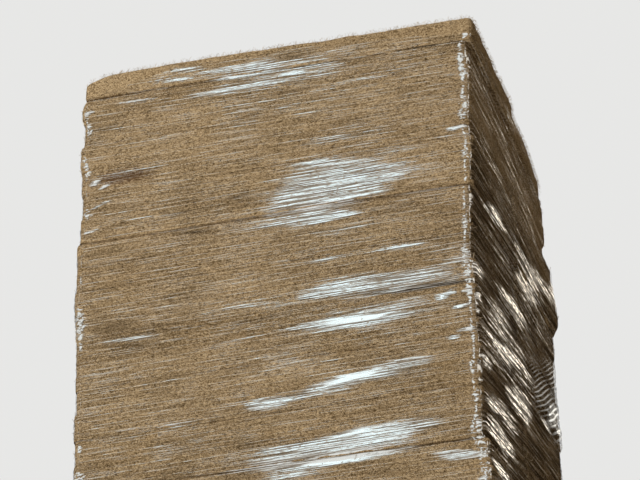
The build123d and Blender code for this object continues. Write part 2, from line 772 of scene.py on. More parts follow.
class Stack:
    """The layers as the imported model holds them, and the outline that they give the film."""

    FLAT_MARGIN = 0.010
    SHARPNESS = 6
    SIDES = ("front", "back", "front_left", "front_right", "back_left", "back_right")

    def __init__(self) -> None:
        """Reads each layer's two batts from the frame, from the top down."""
        names = sorted(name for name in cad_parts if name.startswith("layer_"))
        self.layers = [self._read(name) for name in names]
        self.seams = [layer.bottom for layer in self.layers[:-1]]

    @staticmethod
    def _read(node: str) -> Layer:
        """Splits a layer's points at the gap between its two batts.

        Args:
            node: the layer's name in the frame.

        Returns:
            The layer.
        """
        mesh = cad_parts[node].data
        points = np.array([vertex.co for vertex in mesh.vertices])
        middle = (points[:, 1].min() + points[:, 1].max()) / 2
        halves = (points[points[:, 1] < middle], points[points[:, 1] > middle])
        front, back = (Box(half.min(axis=0), half.max(axis=0)) for half in halves)
        return Layer(node, front, back)

    def step_at(self, seam: int) -> float:
        """How far the layers above and below a seam are out of line, in metres."""
        above, below = self.layers[seam], self.layers[seam + 1]
        return float(np.abs(above.front.low[:2] - below.front.low[:2]).max())

    def gaping(self, seam: int, right: np.ndarray) -> np.ndarray:
        """How far a seam between lifts gapes: most at one end, hardly at the other.

        Args:
            seam: counted from the top.
            right: how far to the right the points are, from 0 to 1.

        Returns:
            From 0 to 1 for each point.
        """
        return (1.0 - right if seam == 0 else right) ** self.SHARPNESS

    def turned(self, points: np.ndarray) -> np.ndarray:
        """Turns each layer a little, so that its front is out of line at one end only.

        Args:
            points: one row for each point, in a stack whose layers lie square.

        Returns:
            The points. The top layer keeps its place at the left end, and the rest at the right.
        """
        low, high = CAD_BOX
        left = np.clip((high.x - points[:, 0]) / (high.x - low.x), 0.0, 1.0)
        share = np.where(points[:, 2] > self.layers[0].bottom, 1.0 - left, left)
        flush = float(np.median([layer.front.low[1] for layer in self.layers]))
        moved = points.copy()
        moved[:, 1] += (flush - self.outline(points[:, 2])["front"]) * share
        return moved

    def outline(self, heights: np.ndarray) -> dict[str, np.ndarray]:
        """Where the batts' faces stand at some heights.

        Args:
            heights: above the floor, in metres.

        Returns:
            The front and back faces' Y, and the X of both ends of the front and back batts.
        """
        knots, rows = [], []
        for layer in reversed(self.layers):
            row = [
                layer.front.low[1],
                layer.back.high[1],
                layer.front.low[0],
                layer.front.high[0],
                layer.back.low[0],
                layer.back.high[0],
            ]
            knots += [layer.bottom + self.FLAT_MARGIN, layer.top - self.FLAT_MARGIN]
            rows += [row, row]
        places = np.array(rows).T
        return {name: np.interp(heights, knots, own) for name, own in zip(self.SIDES, places)}


CORNER_SHARES = (0.0, 0.3, 0.6)


def side_steps(length: float, radius: float, spacing: float) -> np.ndarray:
    """Distances along one side of a rounded rectangle, closer together at its corners.

    Args:
        length: the side's length.
        radius: the corners' radius.
        spacing: the distance between points on the straight part.

    Returns:
        Distances from 0 to just under length: the next side starts with its end.
    """
    corner = radius * np.array(CORNER_SHARES)
    count = max(2, round((length - 2 * radius) / spacing)) + 1
    straight = np.linspace(radius, length - radius, count)
    return np.concatenate([corner, straight, length - corner[:0:-1]])


def rounded(
    x: np.ndarray,
    y: np.ndarray,
    corner_x: np.ndarray,
    corner_y: np.ndarray,
    radius: float | np.ndarray,
) -> tuple[np.ndarray, np.ndarray, np.ndarray, np.ndarray]:
    """Moves points near a square corner onto its rounding.

    Args:
        x: the points' first coordinates.
        y: the points' second coordinates.
        corner_x: the first coordinate of each point's nearest corner.
        corner_y: the second one.
        radius: the rounding's radius.

    Returns:
        The new coordinates, and the two parts of the outward direction.
    """
    sign_x, sign_y = np.sign(corner_x), np.sign(corner_y)
    past_x = np.clip((x - corner_x) * sign_x + radius, 0.0, None)
    past_y = np.clip((y - corner_y) * sign_y + radius, 0.0, None)
    away = np.maximum(np.hypot(past_x, past_y), 1e-9)
    both = (past_x > 0) & (past_y > 0)
    shrink = np.where(both, radius / away, 1.0)
    new_x = x + sign_x * past_x * (shrink - 1)
    new_y = y + sign_y * past_y * (shrink - 1)
    return new_x, new_y, sign_x * past_x / away, sign_y * past_y / away


@dataclass
class BattStack:
    """All the batts, each a soft block of felted fibre with frayed, sagging edges."""

    stack: Stack
    sag: Sag
    finish: WoodFibre = field(default_factory=WoodFibre)
    spacing: float = 0.0135
    corner_radius: float = 0.022
    inner_radius: float = 0.005
    worn_radius: float = 0.045
    soft_edge: float = 0.0030
    stepped_edge: float = 0.008
    stepped_from: float = 0.0065
    face_relief: float = 0.0016
    seam_wander: float = 0.0022
    bare_tone: float = 0.4
    packed_tones: Pair = (-1.0, 0.6)
    relief_cells: int = 96
    wander: RandomField = field(default_factory=lambda: RandomField(11))
    relief: RandomField = field(default_factory=lambda: RandomField(12))
    ease: RandomField = field(default_factory=lambda: RandomField(13))
    opening: RandomField = field(default_factory=lambda: RandomField(15))

    # The rings of points up a batt: each one's share of the height, and of the edge's rounding
    LOWER_ROWS = ((0.0, 1.0), (0.015, 0.5), (0.05, 0.15), (0.11, 0.0), (0.24, 0.0), (0.37, 0.0))
    UPPER_ROWS = ((0.63, 0.0), (0.76, 0.0), (0.89, 0.0), (0.95, 0.15), (0.985, 0.5), (1.0, 1.0))
    ROWS = (*LOWER_ROWS, (0.5, 0.0), *UPPER_ROWS)

    def build(self) -> list[bpy.types.Object]:
        """Makes one piece for each layer, in the place of the layer's node.

        Returns:
            The pieces, from the top down.
        """
        material = self.finish.material()
        tones = np.random.default_rng(14).uniform(*self.packed_tones, len(self.stack.layers))
        pieces = []
        for number, layer in enumerate(self.stack.layers):
            tone = self.bare_tone if number == 0 else float(tones[number])
            halves = [self._batt(number, layer.front, 0), self._batt(number, layer.back, 1)]
            offset = len(halves[0][0])
            points = np.vstack([halves[0][0], halves[1][0]])
            faces = halves[0][1] + [tuple(p + offset for p in face) for face in halves[1][1]]
            points = self.sag.apply(self.stack.turned(points))
            piece = add_mesh(layer.node + "_batts", points, faces, material)
            add_values(piece, "tone", np.full(len(points), tone))
            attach(piece, BODY)
            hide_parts(layer.node)
            pieces.append(piece)
        return pieces

    def _edge(self, seam: int, right: np.ndarray) -> np.ndarray:
        """How far the batts' edges round off at a seam.

        Args:
            seam: counted from the top; -1 is the top itself and the last the foot.
            right: how far to the right each ring point is, from 0 to 1.

        Returns:
            One distance for each ring point.
        """
        if seam < 0 or seam >= len(self.stack.seams):
            return np.full_like(right, self.stepped_edge)
        open_in_places = self.opening.at(right * 7.0, 2.7 * seam)
        closed = self.soft_edge * np.clip(0.2 + 1.3 * open_in_places, 0.05, 1.4)
        if self.stack.step_at(seam) < self.stepped_from:
            return closed
        return closed + (self.stepped_edge - self.soft_edge) * self.stack.gaping(seam, right)

    def _ring(self, half_x: float, half_y: float) -> tuple[np.ndarray, np.ndarray, int, int]:
        """The points round one batt, from its front left corner towards the right.

        Args:
            half_x: half its length.
            half_y: half its width.

        Returns:
            Their X and Y from the batt's middle, and how many a long and a short side have.
        """
        long_steps = side_steps(2 * half_x, self.corner_radius, self.spacing)
        short_steps = side_steps(2 * half_y, self.corner_radius, self.spacing)
        across, deep = len(long_steps), len(short_steps)
        ring_x = np.concatenate([
            long_steps - half_x, np.full(deep, half_x),
            half_x - long_steps, np.full(deep, -half_x),
        ])
        ring_y = np.concatenate([
            np.full(across, -half_y), short_steps - half_y,
            np.full(across, half_y), half_y - short_steps,
        ])
        return ring_x, ring_y, across, deep

    def _radius(
        self, number: int, column: int, ring_x: np.ndarray, ring_y: np.ndarray
    ) -> np.ndarray:
        """The radius of the corner nearest to each ring point.

        Args:
            number: the batt's layer, counted from the top.
            column: 0 for the front batt of the layer and 1 for the back one.
            ring_x: the points' X from the batt's middle.
            ring_y: their Y.

        Returns:
            Small between the columns, wide on the outer corners, widest on a worn one.
        """
        inner = ring_y > 0 if column == 0 else ring_y < 0
        radius = np.where(inner, self.inner_radius, self.corner_radius)
        worn = (ring_x > 0) & (ring_y > 0) & (number == 0 and column == 1)
        return np.where(worn, self.worn_radius, radius)

    def _batt(self, number: int, box: Box, column: int) -> tuple[np.ndarray, list[tuple]]:
        """One batt's closed surface.

        Args:
            number: its layer, counted from the top.
            box: its place.
            column: 0 for the front batt of the layer and 1 for the back one.

        Returns:
            Its points and its faces.
        """
        size = box.high - box.low
        middle = (box.high + box.low) / 2
        half_x, half_y = size[0] / 2, size[1] / 2
        ring_x, ring_y, across, deep = self._ring(half_x, half_y)
        cells = self.relief_cells
        along = np.arange(len(ring_x)) / len(ring_x) * cells
        own = 7.3 * number + 91.7 * column
        below = self.wander.at(along / 4, 3.1 * (number + 1), cells // 4)
        above = self.wander.at(along / 4, 3.1 * number, cells // 4)
        if number == len(self.stack.layers) - 1:
            below = below * 0
        fade = np.clip(0.75 + 0.7 * self.ease.at(along / 2, own, cells // 2), 0.15, 1.2)
        x, y, normal_x, normal_y = rounded(
            ring_x, ring_y,
            np.copysign(half_x, ring_x), np.copysign(half_y, ring_y),
            self._radius(number, column, ring_x, ring_y),
        )
        rows = []
        for share, inset in self.ROWS:
            edge = self._edge(number - 1 if share > 0.5 else number, 0.5 + ring_x / size[0])
            relief = self.relief.at(along, own + share * 3, cells)
            relief += 0.5 * self.relief.at(along * 3, own + share * 9, cells * 3)
            outward = self.face_relief * (relief - 0.9) - inset * (edge * fade)
            lift = self.seam_wander * (above * share + below * (1 - share))
            rows.append(np.column_stack([
                middle[0] + x + normal_x * outward,
                middle[1] + y + normal_y * outward,
                box.low[2] + share * size[2] + lift,
            ]))
        count = len(ring_x)
        points = np.vstack(rows)
        faces = grid_faces(len(rows), count, True)
        faces.append(tuple(range(count - 1, -1, -1)))
        top = (len(rows) - 1) * count
        if number > 0:
            faces.append(tuple(range(top, top + count)))
            return points, faces
        return self._close_top(points, faces, top, across, deep)

    def _close_top(
        self, points: np.ndarray, faces: list[tuple], start: int, across: int, deep: int
    ) -> tuple[np.ndarray, list[tuple]]:
        """Closes the bare top of the stack with a fine, uneven grid.

        Args:
            points: the batt's points so far, its top ring last.
            faces: the batt's faces so far.
            start: the number of the top ring's first point.
            across: how many points the ring's long side has.
            deep: how many points its short side has.

        Returns:
            The points and faces, with the top's own.
        """
        ring = points[start:]
        front = ring[: across + 1]
        right = ring[across : across + deep + 1]
        back = ring[across + deep : 2 * across + deep + 1][::-1]
        left = np.vstack([ring[2 * across + deep :], ring[:1]])[::-1]
        number = np.zeros((deep + 1, across + 1), int)
        number[0] = start + np.arange(across + 1)
        number[:, across] = start + across + np.arange(deep + 1)
        number[deep] = start + across + deep + np.arange(across, -1, -1)
        number[1:, 0] = start + 2 * across + deep + np.arange(deep - 1, -1, -1)
        number[0, 0] = start
        inner = []
        for row in range(1, deep):
            share = row / deep
            for column in range(1, across):
                x, _, z = front[column] * (1 - share) + back[column] * share
                inner.append((x, (left[row][1] + right[row][1]) / 2, z))
                number[row, column] = len(points) + len(inner) - 1
        grid = np.array(inner)
        swell = self.relief.at(grid[:, 0] * 22, grid[:, 1] * 22)
        swell += 0.5 * self.relief.at(grid[:, 0] * 60 + 9, grid[:, 1] * 60)
        grid[:, 2] += self.face_relief * (swell - 0.6)
        flat = number.ravel()
        faces += [tuple(flat[list(face)]) for face in grid_faces(deep + 1, across + 1, False)]
        return np.vstack([points, grid]), faces


@dataclass(frozen=True)
class Patch:
    """A stretch of film that is pulled taut off the fibre, so that it mirrors the light.

    It lies at a place along its side and at a depth, and reaches as far along and as far up and
    down as its reach and height say. It climbs with its slope. A high plateau gives it a flat
    middle and a sharp rim. Along a crease the same shape places painted shade instead.
    """

    side: Side
    along: float
    depth: float
    reach: float
    height: float
    slope: float = 0.0
    strength: float = 1.0
    plateau: float = 1.0

    FALL = 0.9

    def cover(
        self, along: np.ndarray, depth: np.ndarray, ragged: np.ndarray | float = 0.0
    ) -> np.ndarray:
        """How taut this patch makes the film at some points of its side, or along a crease how much
        painted shade it lays.

        Args:
            along: their X on the front and back, and their Y on the ends.
            depth: how far they are below the top of the stack.
            ragged: how far its rim is drawn in or out at each point, as a share.

        Returns:
            0 outside the patch, up to its strength inside.
        """
        run = along - self.along
        drop = depth - self.depth + self.slope * run
        away = ((run / self.reach) ** 2 + (drop / self.height) ** 2) * (1.0 + ragged)
        return self.strength * np.exp(-(away**self.plateau) * self.FALL)


def patches(side: Side, *rows: tuple[float, ...]) -> tuple[Patch, ...]:
    """Patches on one side. A row gives a patch's place along, depth, reach, height and so on."""
    return tuple(Patch(side, *row) for row in rows)


FRONT_PATCHES = patches(
    Side.FRONT,
    (-0.094, 0.051, 0.19, 0.010, 0.0, 1.05),
    (-0.036, 0.064, 0.12, 0.010, 0.0, 0.95),
    (-0.090, 0.080, 0.16, 0.010, 0.0, 1.00),
    (-0.115, 0.120, 0.21, 0.020, 0.04, 0.85),
    (0.070, 0.100, 0.08, 0.010, 0.02, 0.80),
    (0.039, 0.210, 0.05, 0.007, 0.0, 0.80),
    (-0.276, 0.030, 0.09, 0.009, -0.05, 1.00),
    (-0.330, 0.058, 0.09, 0.009, -0.08, 1.00),
    (-0.417, 0.113, 0.09, 0.007, -0.05, 0.85),
    (0.040, 0.085, 0.34, 0.070, 0.0, 0.58, 2.0),
    (0.130, 0.180, 0.50, 0.110, 0.0, 0.42),
    (0.228, 0.344, 0.18, 0.014, 0.02, 0.65),
    (0.170, 0.505, 0.26, 0.112, 0.10, 0.80, 2.0),
    (0.210, 0.510, 0.25, 0.034, 0.04, 0.96),
    (0.150, 0.550, 0.18, 0.030, 0.05, 0.92),
    (0.150, 0.597, 0.15, 0.020, 0.0, 1.10),
    (0.200, 0.648, 0.17, 0.014, 0.0, 0.60),
    (0.156, 0.735, 0.09, 0.008, 0.02, 0.80),
    (0.398, 0.732, 0.09, 0.011, 0.02, 0.88),
    (0.310, 0.842, 0.29, 0.046, 0.02, 0.76, 2.0),
    (0.411, 0.832, 0.15, 0.014, -0.06, 0.98),
    (0.114, 0.850, 0.08, 0.008, 0.0, 1.05),
    (0.245, 0.946, 0.20, 0.019, 0.01, 1.40),
    (0.300, 0.925, 0.24, 0.036, 0.04, 0.60, 2.0),
    (0.275, 1.128, 0.19, 0.026, 0.09, 1.00),
    (0.220, 1.128, 0.16, 0.017, 0.14, 1.35),
    (0.120, 1.156, 0.20, 0.022, 0.06, 0.62, 2.0),
    (-0.022, 1.168, 0.07, 0.019, 0.03, 0.95, 2.0),
    (0.195, 1.330, 0.33, 0.056, 0.10, 0.92, 2.0),
    (0.181, 1.371, 0.22, 0.016, 0.03, 1.40),
    (0.219, 1.299, 0.16, 0.012, 0.09, 1.25),
    (0.040, 1.400, 0.15, 0.018, 0.04, 0.75),
    (0.250, 0.950, 0.50, 0.300, 0.05, 0.34),
    (-0.450, 0.901, 0.14, 0.008, 0.0, 0.85),
    (-0.296, 1.194, 0.10, 0.006, 0.03, 0.70),
    (-0.439, 1.215, 0.07, 0.007, 0.03, 0.65),
    (0.520, 1.402, 0.08, 0.018, -0.15, 0.95),
)

RIGHT_PATCHES = patches(
    Side.RIGHT,
    (0.100, 0.290, 0.60, 0.120, 0.06, 0.24),
    (0.050, 0.620, 0.70, 0.170, 0.10, 0.46),
    (0.250, 0.490, 0.40, 0.050, 0.20, 0.68, 2.0),
    (-0.200, 0.930, 0.55, 0.200, 0.11, 0.58),
    (-0.300, 1.280, 0.40, 0.180, 0.12, 0.38),
    (0.560, 0.420, 0.09, 0.050, 0.05, 0.95),
    (-0.310, 0.541, 0.14, 0.020, 0.08, 0.95),
    (-0.275, 0.515, 0.10, 0.010, 0.08, 0.85),
    (0.080, 0.500, 0.20, 0.045, 0.08, 0.60, 2.0),
    (0.150, 0.575, 0.22, 0.050, 0.13, 0.72, 2.0),
    (-0.080, 0.745, 0.24, 0.050, 0.11, 0.72, 2.0),
    (-0.535, 0.826, 0.10, 0.024, 0.13, 0.95),
    (-0.300, 0.880, 0.20, 0.050, 0.11, 0.62, 2.0),
    (-0.214, 0.960, 0.24, 0.034, 0.20, 1.05),
    (-0.060, 1.050, 0.22, 0.060, 0.25, 0.82, 2.0),
    (-0.510, 1.105, 0.09, 0.022, 0.10, 1.00),
    (-0.470, 1.226, 0.12, 0.024, 0.12, 1.10),
    (-0.300, 1.190, 0.20, 0.050, 0.12, 0.66, 2.0),
    (-0.380, 1.292, 0.20, 0.040, 0.07, 0.78, 2.0),
    (-0.441, 1.420, 0.12, 0.020, 0.12, 0.90),
    (0.470, 0.800, 0.10, 0.035, 0.50, 0.70),
    (0.430, 0.895, 0.17, 0.052, 0.50, 1.02, 2.0),
)

FRONT_TABS = patches(
    Side.FRONT,
    (-0.567, 0.362, 0.022, 0.008, 0.0, 1.50),
    (-0.536, 0.384, 0.020, 0.005, 0.10, 1.40),
    (-0.545, 0.440, 0.022, 0.004, 0.35, 1.50),
    (-0.578, 0.526, 0.020, 0.006, 0.10, 1.40),
    (-0.586, 0.129, 0.014, 0.008, 0.0, 1.40),
    (0.568, 0.373, 0.034, 0.008, 0.14, 1.60),
    (0.509, 0.911, 0.022, 0.012, 0.40, 1.80),
    (0.557, 0.953, 0.024, 0.005, 0.30, 1.60),
    (0.573, 0.904, 0.016, 0.007, -0.20, 1.50),
    (0.571, 1.027, 0.020, 0.006, 0.05, 1.60),
    (0.535, 1.047, 0.012, 0.006, 0.05, 1.50),
    (0.595, 1.482, 0.014, 0.006, 0.05, 1.50),
)

RIGHT_TABS = patches(
    Side.RIGHT,
    (-0.558, 0.918, 0.020, 0.014, 0.30, 1.60),
    (0.440, 0.878, 0.050, 0.014, 0.30, 1.50),
    (0.498, 0.920, 0.050, 0.018, 0.30, 1.50),
)

# Creases on the front, shaped as patches, along which the film lays painted shade over the fibre.
CREASE_SHADES = patches(
    Side.FRONT,
    (0.455, 0.872, 0.18, 0.010, 0.0, 2.6),
    (0.330, 0.866, 0.16, 0.006, -0.06, 1.3),
    (-0.490, 0.184, 0.14, 0.007, 0.0, 1.3),
    (-0.330, 0.508, 0.16, 0.007, 0.0, 1.2),
    (-0.105, 0.487, 0.06, 0.008, 0.0, 1.3),
    (-0.235, 0.580, 0.08, 0.007, 0.0, 1.2),
    (-0.060, 0.900, 0.10, 0.006, 0.0, 1.3),
)


@dataclass(frozen=True)
class Ring:
    """The points of one round of the film, from the stack's front left corner to the right.

    Each has the side that it is on, its share of that side, and its distance round.
    """

    side: np.ndarray
    fraction: np.ndarray
    distance: np.ndarray
    length: float

    def on(self, *sides: Side) -> np.ndarray:
        """Whether each point is on one of some sides."""
        return np.isin(self.side, [side.value for side in sides])

    def by_side(
        self,
        front: np.ndarray | float,
        right: np.ndarray | float,
        back: np.ndarray | float,
        left: np.ndarray | float,
    ) -> np.ndarray:
        """Takes for each point the value of the side that it is on.

        Args:
            front: the values on the front.
            right: those on the right end.
            back: those on the back.
            left: those on the left end.

        Returns:
            One value for each point.
        """
        others = [self.on(side) for side in (Side.FRONT, Side.RIGHT, Side.BACK)]
        return np.select(others, [front, right, back], left)


@dataclass(frozen=True)
class Wrinkles:
    """Random ups and downs of the film: how many to a round, how tall, and how deep they are."""

    seed: int
    to_round: int
    height: float
    depth: float

    def at(
        self, turn: np.ndarray, heights: np.ndarray, share: np.ndarray | float = 1.0
    ) -> np.ndarray:
        """The wrinkles' relief.

        Args:
            turn: the points' places round, from 0 to 1.
            heights: their heights.
            share: how much of its full depth the relief has at each point.

        Returns:
            Distances outwards.
        """
        cells = RandomField(self.seed)
        return self.depth * share * cells.at(turn * self.to_round, heights / self.height, self.to_round)


@dataclass
class StretchFilm:
    """The film round the stack, with its streaks, pleats, gathers and ragged upper edge."""

    stack: Stack
    sag: Sag
    finish: ClearFilm = field(default_factory=ClearFilm)
    row_step: float = 0.0052
    spacing: float = 0.027
    corner_radius: float = 0.026
    corner_shine: float = 0.007
    shine_from_corner: float = 0.022
    faint_taut: float = 0.27
    # Painted shade that the film lays over the fibre: faint and uneven everywhere, more along creases,
    # and most on the ends of the stack, growing downwards.
    faint_shade: float = 0.40
    most_shade: float = 1.5
    end_shade: Pair = (0.22, 0.74)
    end_shade_depths: Pair = (0.22, 0.50)
    end_shade_rim: Pair = (0.61, 0.59)
    off_fibre: float = 0.0016
    middle_bow: float = 0.002
    ragged_edge: float = 0.004
    long_folds: Wrinkles = Wrinkles(seed=22, to_round=16, height=0.019, depth=0.0011)
    short_folds: Wrinkles = Wrinkles(seed=23, to_round=60, height=0.011, depth=0.0006)
    swell: Wrinkles = Wrinkles(seed=24, to_round=12, height=0.11, depth=0.0012)
    pleats: Wrinkles = Wrinkles(seed=25, to_round=70, height=0.0105, depth=0.0014)
    pleat_reach: float = 0.05
    seam_depth: float = 0.0006
    seam_share: float = 0.18
    seam_deepest: float = 0.02
    seam_width: float = 0.006
    gather_from: float = 0.05
    gather_rim: float = 0.12
    gather_end: Pair = (0.12, 0.03)
    gather_on_back: float = 0.12
    gather_soft_top: Pair = (-0.03, 0.03)
    gather_soft_foot: Pair = (0.04, -0.02)
    gather_run: Pair = (0.10, 0.48)
    gather_upper: Pair = (0.82, 0.17)
    gather_lower: Pair = (0.97, 0.02)
    gather_lift: float = 0.005
    gather_rise: float = 0.52
    gather_pitch: float = 0.017
    gather_least_pitch: float = 0.006
    gather_growth: float = 0.054
    gather_place: Pair = (0.50, 0.724)
    unseen_patches: int = 26
    unseen_depths: Pair = (0.1, 2.25)
    shown_depth: float = 1.5
    rise_front: float = 0.022
    rise_right: float = 0.11
    rise_back: float = -0.06
    steeper_depths: Pair = (0.05, 1.2)
    end_pace: float = 0.6
    sheet_round: float = 4.78
    sheet_height: float = 2.33

    EDGE_LIFT = (
        (0.0, 0.0), (0.13, 0.037), (0.23, 0.062), (0.54, 0.052), (0.75, 0.028), (1.0, 0.0),
    )

    def build(self) -> bpy.types.Object:
        """Makes the film in the place of its node.

        Returns:
            The film.
        """
        low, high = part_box("stretch_film")
        ring = self._ring(high.x - low.x, high.y - low.y)
        rows = int((high.z - low.z) / self.row_step)
        share = np.linspace(0.0, 1.0, rows)[:, None]
        heights = low.z + share * (self._edge(ring) - low.z)[None, :]
        x, y, normal_x, normal_y = self._outline(ring, heights)
        gathered, ridges = self._gather(ring, heights)
        outward = self._relief(ring, heights) + self.gather_lift * gathered
        points = np.column_stack([
            (x + normal_x * outward).ravel(),
            (y + normal_y * outward).ravel(),
            heights.ravel(),
        ])
        faces = grid_faces(rows, len(ring.side), True)
        points = self.sag.apply(self.stack.turned(points))
        piece = add_mesh("stretch_film_sleeve", points, faces, self.finish.material())
        add_values(piece, "taut", self._taut(ring, heights, x, y))
        add_values(piece, "pleat", self._pleat(ring, heights))
        add_values(piece, "gather", gathered)
        add_values(piece, "ridge", ridges)
        # How much painted shade the film lays over the fibre.
        add_values(piece, "shade", self._shade(ring, heights, x, y))
        add_values(piece, "end", np.broadcast_to(ring.on(Side.RIGHT, Side.LEFT), heights.shape))
        self._map(piece, ring, heights)
        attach(piece, BODY)
        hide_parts("stretch_film")
        return piece

    def _ring(self, wide: float, deep: float) -> Ring:
        """Spreads the points of one round.

        Args:
            wide: the length of the front and the back.
            deep: the length of the ends.

        Returns:
            The ring.
        """
        sides, fractions, distances = [], [], []
        start = 0.0
        for side in Side:
            length = wide if side in (Side.FRONT, Side.BACK) else deep
            steps = side_steps(length, self.corner_radius, self.spacing)
            sides.append(np.full(len(steps), side.value))
            fractions.append(steps / length)
            distances.append(start + steps)
            start += length
        return Ring(*(np.concatenate(each) for each in (sides, fractions, distances)), start)

    @staticmethod
    def _across(ring: Ring) -> np.ndarray:
        """The ring's points on a plain rectangle as large as the film's box.

        Args:
            ring: the points of one round.

        Returns:
            Their X.
        """
        low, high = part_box("stretch_film")
        run = low.x + ring.fraction * (high.x - low.x)
        back = high.x - ring.fraction * (high.x - low.x)
        return ring.by_side(run, high.x, back, low.x)

    def _edge(self, ring: Ring) -> np.ndarray:
        """How high the film's upper edge is: as the frame has it at both ends, lifted between.

        Args:
            ring: the points of one round.

        Returns:
            A height for each ring point.
        """
        points = np.array([v.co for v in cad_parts["stretch_film"].data.vertices])
        near = 0.1 * (points[:, 0].max() - points[:, 0].min())
        left = points[points[:, 0] < points[:, 0].min() + near][:, 2].max()
        right = points[points[:, 0] > points[:, 0].max() - near][:, 2].max()
        low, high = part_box("stretch_film")
        across = (self._across(ring) - low.x) / (high.x - low.x)
        lift = np.interp(across, *zip(*self.EDGE_LIFT))
        ragged = RandomField(21).at(ring.distance * 9, 0.0, 64)
        return left + across * (right - left) + lift + self.ragged_edge * ragged

    def _outline(
        self, ring: Ring, heights: np.ndarray
    ) -> tuple[np.ndarray, np.ndarray, np.ndarray, np.ndarray]:
        """The film's place before its relief: tight round the batts at each height.

        Args:
            ring: the points of one round.
            heights: one row for each round of the film.

        Returns:
            X, Y and the two parts of the outward direction, shaped as heights.
        """
        at = self.stack.outline(heights)
        middle = (at["front"] + at["back"]) / 2
        widest_right = np.maximum(at["front_right"], at["back_right"]) + self.middle_bow
        widest_left = np.minimum(at["front_left"], at["back_left"]) - self.middle_bow
        fraction = np.broadcast_to(ring.fraction, heights.shape)
        nearer = np.where(fraction < 0.5, fraction * 2, 2 - fraction * 2)
        right_end = np.where(fraction < 0.5, at["front_right"], at["back_right"])
        left_end = np.where(fraction < 0.5, at["back_left"], at["front_left"])
        depth = at["back"] - at["front"]
        x = ring.by_side(
            at["front_left"] + fraction * (at["front_right"] - at["front_left"]),
            right_end + nearer * (widest_right - right_end),
            at["back_right"] + fraction * (at["back_left"] - at["back_right"]),
            left_end + nearer * (widest_left - left_end),
        )
        y = ring.by_side(
            at["front"], at["front"] + fraction * depth, at["back"], at["back"] - fraction * depth
        )
        at_front = y < middle
        corner_x = np.where(
            x > 0,
            np.where(at_front, at["front_right"], at["back_right"]),
            np.where(at_front, at["front_left"], at["back_left"]),
        )
        corner_y = np.where(at_front, at["front"], at["back"])
        return rounded(x, y, corner_x, corner_y, self.corner_radius)

    def _relief(self, ring: Ring, heights: np.ndarray) -> np.ndarray:
        """How far the film stands off the batts' flat faces: wrinkles, pleats and seams.

        Args:
            ring: the points of one round.
            heights: one row for each round of the film.

        Returns:
            Distances outwards, shaped as heights.
        """
        turn = np.broadcast_to(ring.distance / ring.length, heights.shape)
        relief = self.off_fibre + self.long_folds.at(turn, heights)
        relief = relief + self.short_folds.at(turn, heights) + self.swell.at(turn, heights)
        from_corner = np.minimum(ring.fraction, 1 - ring.fraction) * ring.length / 4
        pleated = np.exp(-from_corner / self.pleat_reach)
        relief = relief + self.pleats.at(turn, heights, pleated)
        low, high = CAD_BOX
        right = (self._across(ring) - low.x) / (high.x - low.x)
        for number, seam in enumerate(self.stack.seams):
            step = self.seam_share * min(self.stack.step_at(number), self.seam_deepest)
            depth = self.seam_depth + step * self.stack.gaping(number, np.clip(right, 0.0, 1.0))
            relief = relief - depth * np.exp(-(((heights - seam) / self.seam_width) ** 2))
        return relief

    def _gather(self, ring: Ring, heights: np.ndarray) -> tuple[np.ndarray, np.ndarray]:
        """The loose film that is gathered in folds toward the back of the right side.

        Args:
            ring: the points of one round.
            heights: one row for each round of the film.

        Returns:
            How much film is gathered at each point, and how many folds lie before it.
        """
        depth = CAD_BOX[1].z - heights
        low, high = CAD_BOX
        on_right = ring.on(Side.RIGHT)
        along = np.where(on_right, low.y + ring.fraction * (high.y - low.y), 0.0)
        past_corner = high.y + ring.fraction * (high.x - low.x)
        along = np.where(ring.on(Side.BACK), past_corner, along)
        here = on_right | (ring.on(Side.BACK) & (ring.fraction < self.gather_on_back))
        here = here * smooth_step(self.gather_from, self.gather_from + self.gather_rim, along)
        here = here * smooth_step(*(high.y + past for past in self.gather_end), along)
        toward_back = np.clip((along - self.gather_run[0]) / self.gather_run[1], 0.0, 1.0)
        upper, lower = (
            at_front - less_at_back * toward_back
            for at_front, less_at_back in (self.gather_upper, self.gather_lower)
        )
        zone = here * smooth_step(*(upper + rim for rim in self.gather_soft_top), depth)
        zone = zone * smooth_step(*(lower + rim for rim in self.gather_soft_foot), depth)
        place_y, place_depth = self.gather_place
        across = depth + self.gather_rise * (along - place_y)
        pitch = self.gather_pitch + self.gather_growth * (across - place_depth)
        pitch = np.maximum(pitch, self.gather_least_pitch)
        return zone, np.log(pitch / self.gather_pitch) / self.gather_growth

    def _taut(
        self, ring: Ring, heights: np.ndarray, x: np.ndarray, y: np.ndarray
    ) -> np.ndarray:
        """How taut the film is at each point: 0 where it clings, 1 and more where it is pulled.

        Args:
            ring: the points of one round.
            heights: one row for each round of the film.
            x: the points' X.
            y: the points' Y.

        Returns:
            One number for each point, shaped as heights.
        """
        depth = CAD_BOX[1].z - heights
        taut = np.zeros_like(heights)
        ragged = 0.6 * RandomField(33).at(x * 7 + y * 5, heights / 0.017)
        shown = [*FRONT_PATCHES, *RIGHT_PATCHES, *FRONT_TABS, *RIGHT_TABS]
        for patch in shown + self._unseen():
            here = ring.on(patch.side)
            along = (x if patch.side in (Side.FRONT, Side.BACK) else y)[:, here]
            cover = patch.cover(along, depth[:, here], ragged[:, here])
            taut[:, here] = np.maximum(taut[:, here], cover)
        uneven = RandomField(28).at(x * 5 + y * 3, heights / 0.05)
        return np.maximum(taut, self.faint_taut * (1 + 0.6 * uneven))

